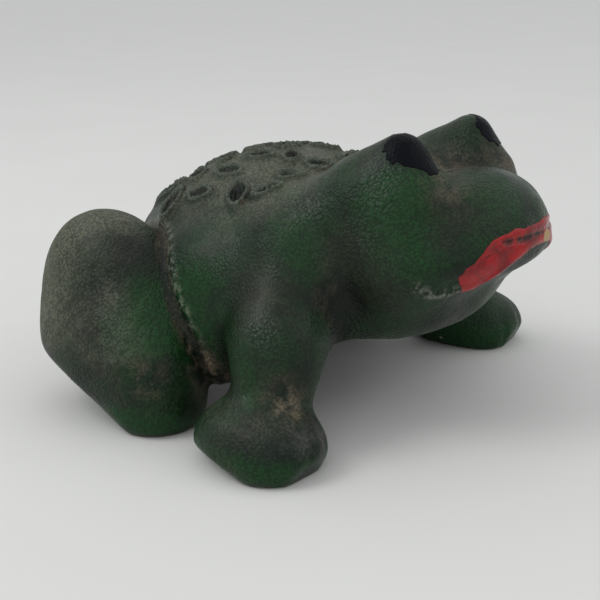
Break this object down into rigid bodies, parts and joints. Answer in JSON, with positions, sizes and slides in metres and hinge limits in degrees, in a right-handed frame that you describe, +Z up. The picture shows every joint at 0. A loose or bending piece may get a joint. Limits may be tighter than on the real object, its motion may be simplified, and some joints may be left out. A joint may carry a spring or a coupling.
{
  "type": "cast iron frog doorstop",
  "caption": "Sitting frog figure in cast iron, hollow and open underneath, green enamel with painted eyes and mouth, used as a doorstop or paperweight.",
  "frame": {"origin": "middle of the footprint, on the ground under the frog", "axes": "+Z up, -Y the way the frog looks, +X the frog's left, X = 0 its mirror plane"},
  "size_m": [0.139, 0.1291, 0.0786],
  "materials": {
    "casting_enamel": "worn dark green enamel over coarse sand-cast iron, satin",
    "eye_enamel": "black enamel, satin, ragged edge",
    "mouth_enamel": "red enamel, glossy, chipped"
  },
  "bodies": {
    "root": {"frog_casting": "casting_enamel", "eye_paint_left": "eye_enamel", "eye_paint_right": "eye_enamel", "mouth_paint": "mouth_enamel"}
  },
  "joints": []
}
